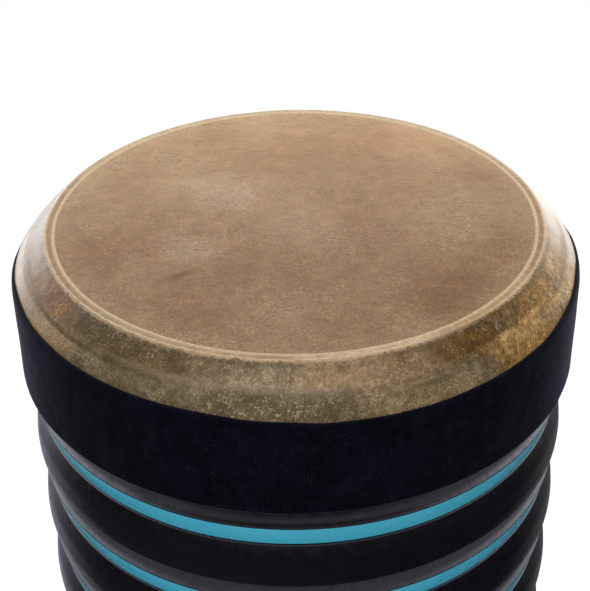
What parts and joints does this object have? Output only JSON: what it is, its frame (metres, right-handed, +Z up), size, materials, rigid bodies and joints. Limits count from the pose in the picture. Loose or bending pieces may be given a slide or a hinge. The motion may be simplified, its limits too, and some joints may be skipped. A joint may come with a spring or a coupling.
{
  "type": "hand drum",
  "caption": "Tall hand drum with a goatskin head on a wooden frame, a knitted band over its hoop, and a flexible ringed black shell that folds down onto its foot.",
  "frame": {"origin": "centre of the foot, on the surface that the drum stands on", "axes": "+Z up along the drum's axis towards the head; X and Y lie in the foot's plane"},
  "size_m": [0.2892, 0.2876, 0.6103],
  "materials": {
    "goatskin": "natural goatskin, matt with a soft sheen",
    "bearing_ring_wood": "turned wood, oiled",
    "frame_wood": "turned plywood, sealed",
    "hoop_steel": "round steel rod, plain",
    "band_knit": "knitted elastic, matt black",
    "clamp_aluminium": "rolled strip, mill finish",
    "screw_steel": "zinc-plated steel",
    "shell_black": "blow-moulded, glossy black",
    "stripe_turquoise": "satin turquoise",
    "foot_black": "moulded, satin black",
    "foot_rubber": "matt black rubber"
  },
  "bodies": {
    "foot": {"foot_ring": "foot_black", "foot_pad": "foot_rubber", "foot_screw_1": "screw_steel", "foot_screw_2": "screw_steel", "foot_screw_3": "screw_steel", "foot_screw_4": "screw_steel", "foot_screw_5": "screw_steel", "foot_screw_6": "screw_steel", "lower_clamp_ring": "clamp_aluminium", "pleated_shell": "shell_black", "stripe_ring_01": "stripe_turquoise", "stripe_ring_02": "stripe_turquoise", "stripe_ring_03": "stripe_turquoise", "stripe_ring_04": "stripe_turquoise", "stripe_ring_05": "stripe_turquoise", "stripe_ring_06": "stripe_turquoise", "stripe_ring_07": "stripe_turquoise", "stripe_ring_08": "stripe_turquoise", "stripe_ring_09": "stripe_turquoise", "stripe_ring_10": "stripe_turquoise", "stripe_ring_11": "stripe_turquoise"},
    "head": {"goatskin_head": "goatskin", "bearing_ring": "bearing_ring_wood", "head_frame": "frame_wood", "flesh_hoop": "hoop_steel", "elastic_band": "band_knit", "upper_clamp_ring": "clamp_aluminium", "head_screw_1": "screw_steel", "head_screw_2": "screw_steel", "head_screw_3": "screw_steel", "head_screw_4": "screw_steel", "head_screw_5": "screw_steel", "head_screw_6": "screw_steel"}
  },
  "joints": [
    {"name": "shell_fold", "type": "slide", "parent": "foot", "child": "head", "axis": [0, 0, -1], "range_m": [0, 0.352], "deforming": ["pleated_shell", "stripe_ring_01", "stripe_ring_02", "stripe_ring_03", "stripe_ring_04", "stripe_ring_05", "stripe_ring_06", "stripe_ring_07", "stripe_ring_08", "stripe_ring_09", "stripe_ring_10", "stripe_ring_11"]}
  ]
}
